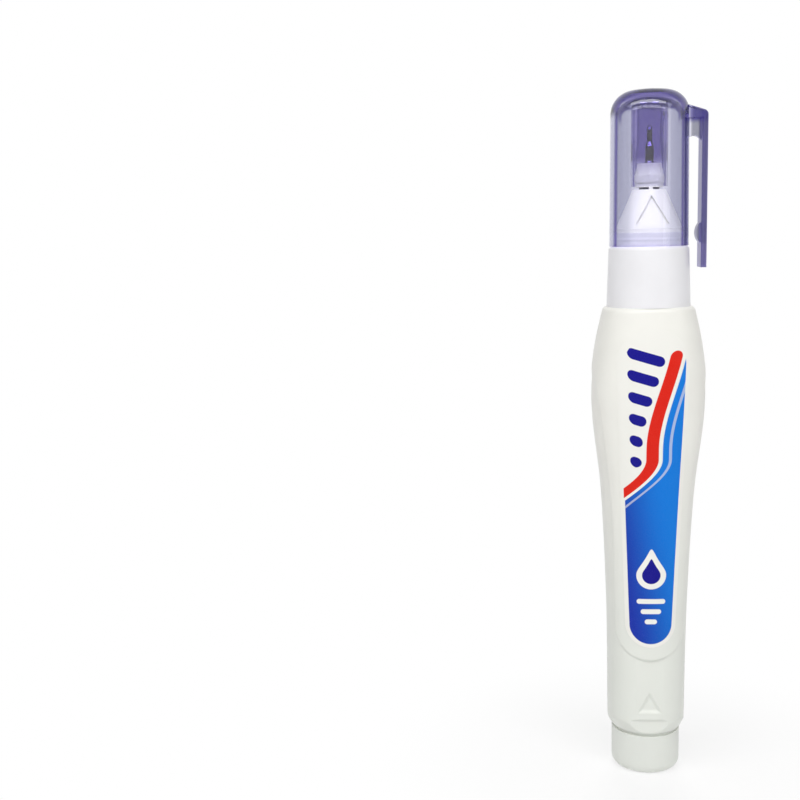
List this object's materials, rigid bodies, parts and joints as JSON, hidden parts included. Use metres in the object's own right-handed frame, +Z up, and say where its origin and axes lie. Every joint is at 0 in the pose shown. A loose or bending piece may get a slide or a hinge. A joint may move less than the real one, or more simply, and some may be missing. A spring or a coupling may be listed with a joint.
{
  "type": "correction pen",
  "caption": "Squeeze correction pen: oval white bottle with a wide belly and printed label, sprung metal tip on a cone nozzle, and a clear tinted pull-off cap with a pocket clip.",
  "frame": {"origin": "centre of the tail's flat base, on the surface that the pen stands on", "axes": "+Z up along the pen from the tail to the cap, -Y out of the printed front, +X towards the pocket clip"},
  "size_m": [0.0222, 0.0191, 0.137],
  "materials": {
    "clear_violet": "clear polystyrene tinted violet-blue, polished",
    "seal_plastic": "natural polypropylene",
    "tip_steel": "turned stainless steel",
    "nozzle_white": "white polypropylene, satin gloss",
    "collar_white": "cool white polypropylene, satin",
    "bottle_white": "warm white polyethylene, satin",
    "tail_white": "warm white polyethylene, satin",
    "label_print": "printed film, glossy",
    "spring_steel": "bright steel"
  },
  "bodies": {
    "barrel": {"bottle": "bottle_white", "tail_plug": "tail_white", "front_label": "label_print", "collar": "collar_white", "nozzle": "nozzle_white", "tip_holder": "nozzle_white", "metal_tip": "tip_steel", "valve_cage": "seal_plastic", "valve_spring": "spring_steel"},
    "cap": {"cap": "clear_violet", "inner_cap": "seal_plastic"},
    "needle": {"valve_needle": "tip_steel"},
    "ball": {"mixing_ball": "spring_steel"}
  },
  "joints": [
    {"name": "cap_pull", "type": "slide", "parent": "barrel", "child": "cap", "axis": [0, 0, 1], "range_m": [0, 0.045]},
    {"name": "needle_press", "type": "slide", "parent": "barrel", "child": "needle", "axis": [0, 0, -1], "range_m": [0, 0.0004], "stiffness_N_per_m": 350, "springref_m": -0.0015, "deforming": ["valve_spring"]},
    {"name": "ball_rattle", "type": "slide", "parent": "barrel", "child": "ball", "axis": [0, 0, 1], "range_m": [0, 0.091]}
  ]
}
